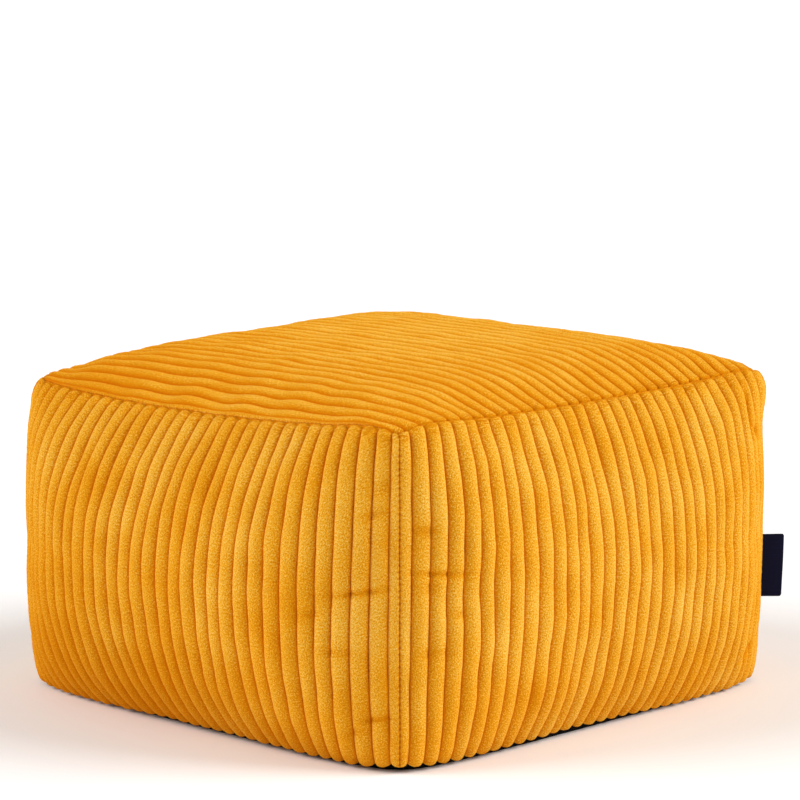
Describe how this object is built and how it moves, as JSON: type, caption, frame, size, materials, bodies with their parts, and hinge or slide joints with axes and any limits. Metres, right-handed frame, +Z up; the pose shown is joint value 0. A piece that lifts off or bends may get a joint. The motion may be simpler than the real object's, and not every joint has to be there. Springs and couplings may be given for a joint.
{
  "type": "bean bag footstool",
  "caption": "Square, overfilled bean bag footstool of wide-ribbed cord with swelling sides, a crowned top, a plain dark base cloth and a small side tab.",
  "frame": {"origin": "on the floor, under the middle of the base", "axes": "+Z up, +X out of the right side, -Y out of the front side; the ribs of the top run along X"},
  "size_m": [0.6025, 0.6335, 0.3386],
  "materials": {
    "cord": "plush mustard cord, wide soft ribs",
    "base_cloth": "plain black woven cloth, matt",
    "tab_ribbon": "dark navy woven ribbon, slight sheen"
  },
  "bodies": {
    "root": {"filled_cover": "cord", "base_panel": "base_cloth", "side_tab": "tab_ribbon"}
  },
  "joints": []
}
